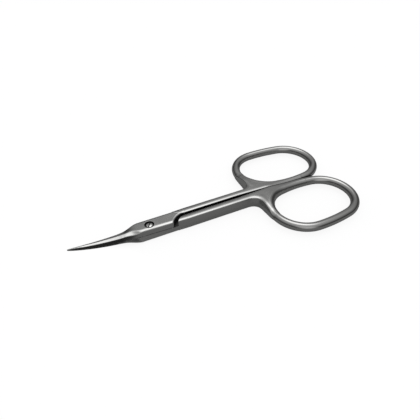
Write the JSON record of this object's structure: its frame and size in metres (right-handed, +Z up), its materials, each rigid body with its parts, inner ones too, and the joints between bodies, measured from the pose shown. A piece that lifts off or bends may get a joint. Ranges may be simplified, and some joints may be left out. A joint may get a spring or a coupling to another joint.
{
  "type": "cuticle scissors",
  "caption": "Small steel cuticle scissors, closed and lying flat: oval finger rings, slim shanks, a screw pivot and narrow blades that curve up to a fine tip.",
  "frame": {"origin": "centre of the outline's underside, on the surface that the scissors lie on", "axes": "+X from the blade tips to the finger rings, +Y to the upper half's ring, +Z up along the pivot screw, towards its head"},
  "size_m": [0.09, 0.0446, 0.0044],
  "materials": {
    "steel": "satin ground flats with polished edges and rings",
    "screw_steel": "turned and polished"
  },
  "bodies": {
    "lower": {"lower_half": "steel", "pivot_screw": "screw_steel"},
    "upper": {"upper_half": "steel"}
  },
  "joints": [
    {"name": "pivot", "type": "hinge", "parent": "lower", "child": "upper", "pos_m": [-0.0215, 0, 0.002], "axis": [0, 0, 1], "range_deg": [0, 60]}
  ]
}
